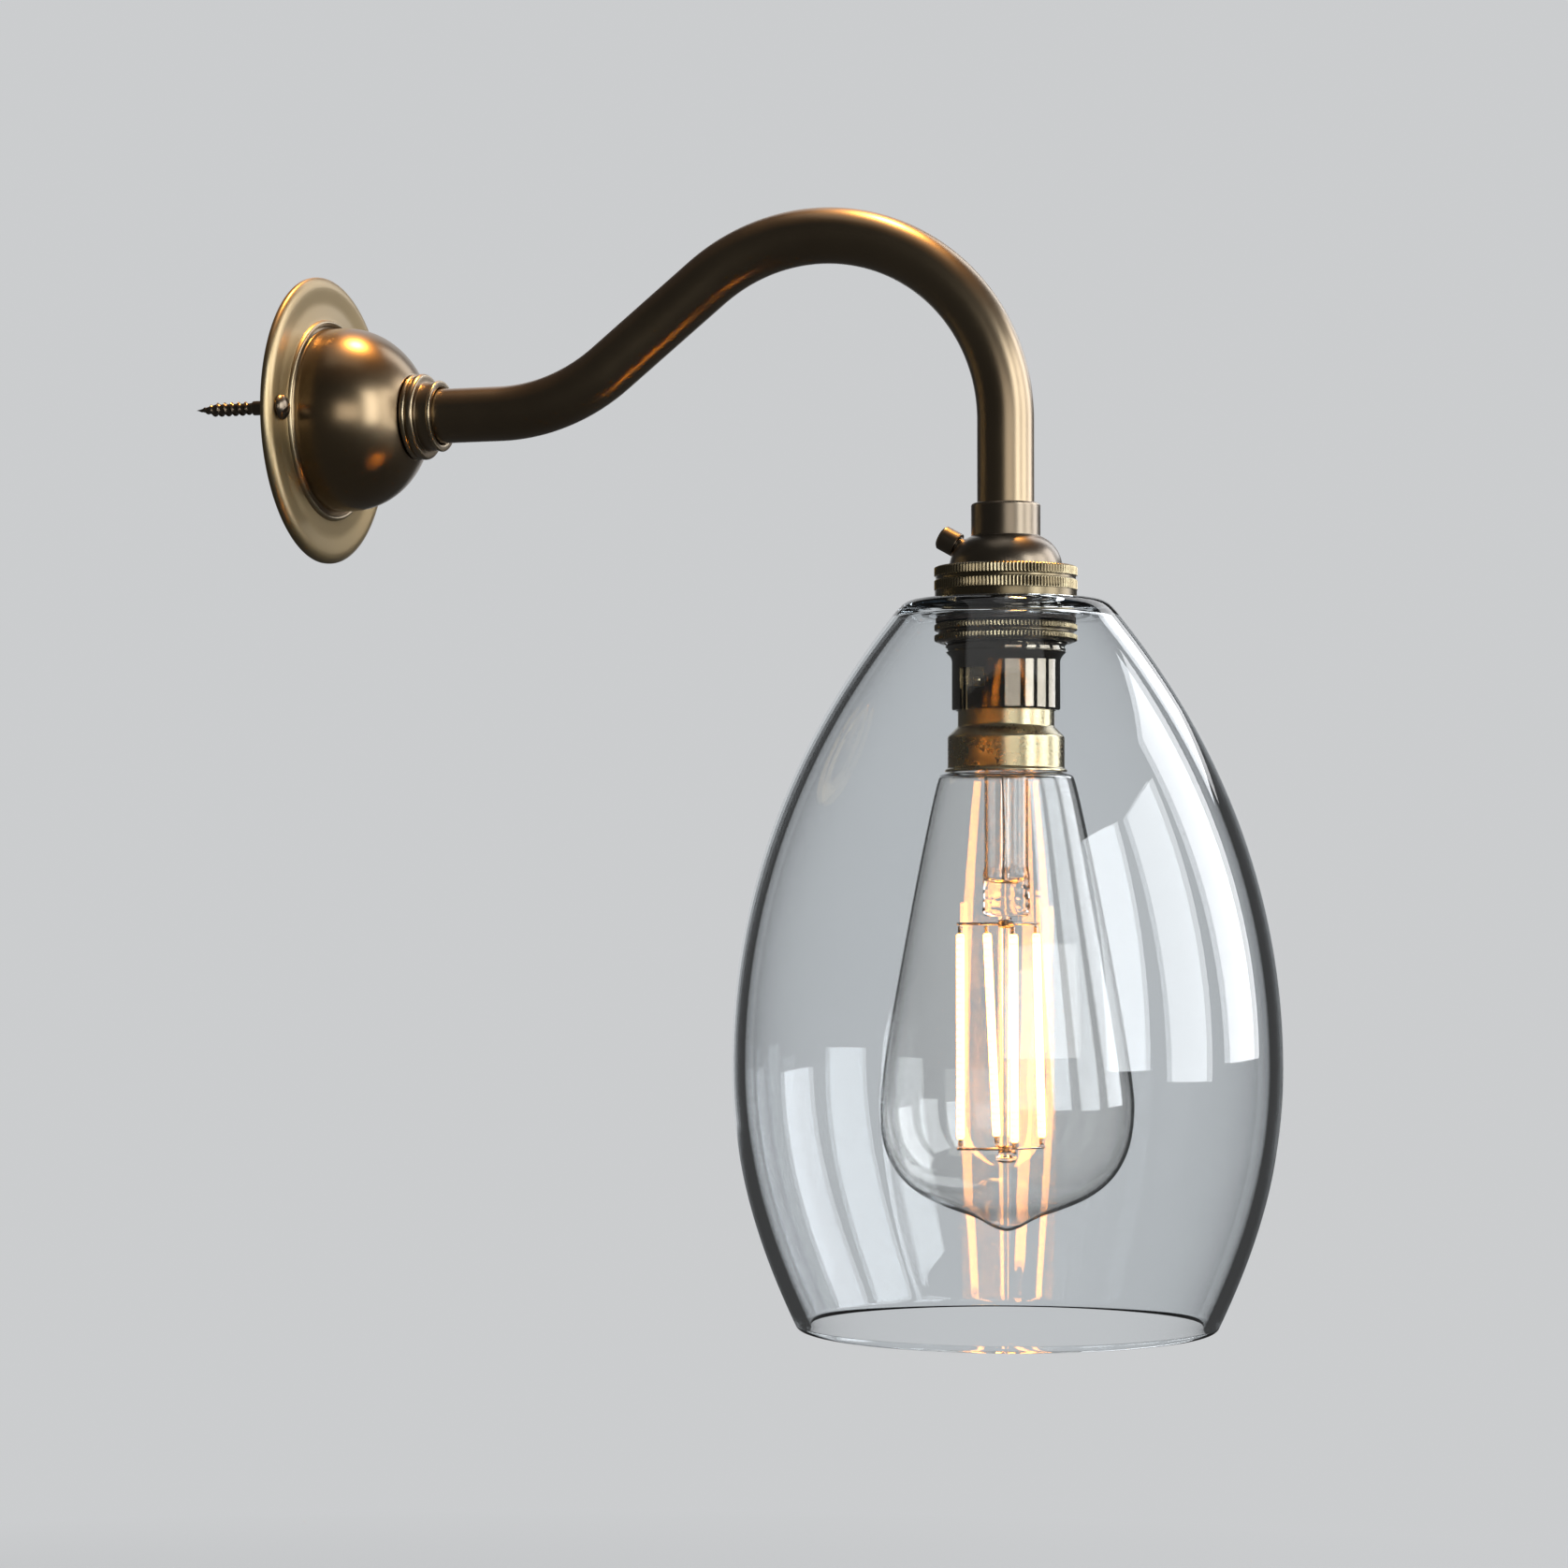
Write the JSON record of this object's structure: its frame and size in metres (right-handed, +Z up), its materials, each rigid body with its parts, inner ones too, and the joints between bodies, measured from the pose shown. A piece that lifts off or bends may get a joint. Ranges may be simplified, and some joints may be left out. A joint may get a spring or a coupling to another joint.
{
  "type": "swan-neck wall light",
  "caption": "Swan-neck wall light: domed brass wall plate, curved tube arm, bayonet lampholder, open egg-shaped clear glass shade and filament lamp.",
  "frame": {"origin": "middle of the wall plate on the wall, which is also the height of the arm's level run", "axes": "+Z up; the wall is the plane Y = 0 and the arm reaches out along -Y; X = 0 is the plane of the arm's bend"},
  "size_m": [0.1238, 0.2528, 0.258],
  "materials": {
    "plate_brass": "antiqued satin",
    "antique_brass": "dark antiqued satin",
    "holder_brass": "dark antiqued satin",
    "screw_brass": "dark antiqued",
    "knurled_brass": "knurled",
    "polished_brass": "polished",
    "lamp_brass": "satin",
    "steel": "bright",
    "solder": "dull",
    "shade_glass": "clear, faintly smoked",
    "lamp_glass": "clear",
    "black_glass": "black glass",
    "porcelain": "glazed",
    "nylon": "natural",
    "fibre": "matt",
    "circuit_board": "matt",
    "flex_sheath": "matt",
    "core_brown": "smooth",
    "core_blue": "smooth",
    "core_earth": "smooth",
    "filament": "phosphor coating"
  },
  "bodies": {
    "fixture": {"wall_plate": "plate_brass", "wall_screw_left": "screw_brass", "wall_screw_right": "screw_brass", "arm_collar": "antique_brass", "arm_lock_washer": "steel", "arm_nut": "screw_brass", "terminal_block": "nylon", "wall_core_live": "core_brown", "wall_core_neutral": "core_blue", "wall_core_earth": "core_earth", "block_screw_live": "screw_brass", "block_screw_neutral": "screw_brass", "block_screw_earth": "screw_brass", "swan_neck_arm": "antique_brass", "arm_flex": "flex_sheath", "holder_cap": "holder_brass", "earth_post": "holder_brass", "earth_screw": "screw_brass", "cap_ring": "knurled_brass", "holder_barrel": "polished_brass", "contact_block": "porcelain", "holder_core_live": "core_brown", "holder_core_neutral": "core_blue", "holder_core_earth": "core_earth", "terminal_screw_live": "screw_brass", "terminal_screw_neutral": "screw_brass", "plunger_spring_live": "steel", "plunger_spring_neutral": "steel", "shade_washer_upper": "fibre"},
    "plungers": {"plunger_live": "lamp_brass", "plunger_neutral": "lamp_brass"},
    "bulb": {"bulb_cap": "lamp_brass", "bulb_pin_left": "lamp_brass", "bulb_pin_right": "lamp_brass", "bulb_insulator": "black_glass", "contact_pad_live": "solder", "contact_pad_neutral": "solder", "bulb_driver": "circuit_board", "bulb_glass": "lamp_glass", "bulb_stem": "lamp_glass", "bulb_exhaust_tube": "lamp_glass", "bulb_lead_left": "steel", "bulb_lead_right": "steel", "bulb_arbor": "lamp_glass", "bulb_button": "lamp_glass", "bulb_support_upper": "steel", "bulb_support_lower": "steel", "bulb_filament_1": "filament", "bulb_filament_2": "filament", "bulb_filament_3": "filament", "bulb_filament_4": "filament"},
    "shade": {"glass_shade": "shade_glass", "shade_washer_lower": "fibre"},
    "ring": {"shade_ring": "knurled_brass"}
  },
  "joints": [
    {"name": "bulb_press", "type": "slide", "parent": "fixture", "child": "plungers", "axis": [0, 0, 1], "range_m": [0, 0.0015], "stiffness_N_per_m": 1500, "springref_m": -0.003, "deforming": ["plunger_spring_live", "plunger_spring_neutral"]},
    {"name": "bulb_twist", "type": "hinge", "parent": "plungers", "child": "bulb", "pos_m": [0, -0.17083, -0.0667], "axis": [0, 0, 1], "range_deg": [-19, 0]},
    {"name": "shade_drop", "type": "slide", "parent": "fixture", "child": "shade", "axis": [0, 0, -1], "range_m": [0, 0.006]},
    {"name": "shade_ring_turn", "type": "hinge", "parent": "shade", "child": "ring", "pos_m": [0, -0.17083, -0.0556], "axis": [0, 0, 1], "range_deg": [-1810, 0]}
  ],
  "couplings": [
    {"joint": "shade_ring_turn", "follows": "shade_drop", "rad_per_m": -5236}
  ]
}
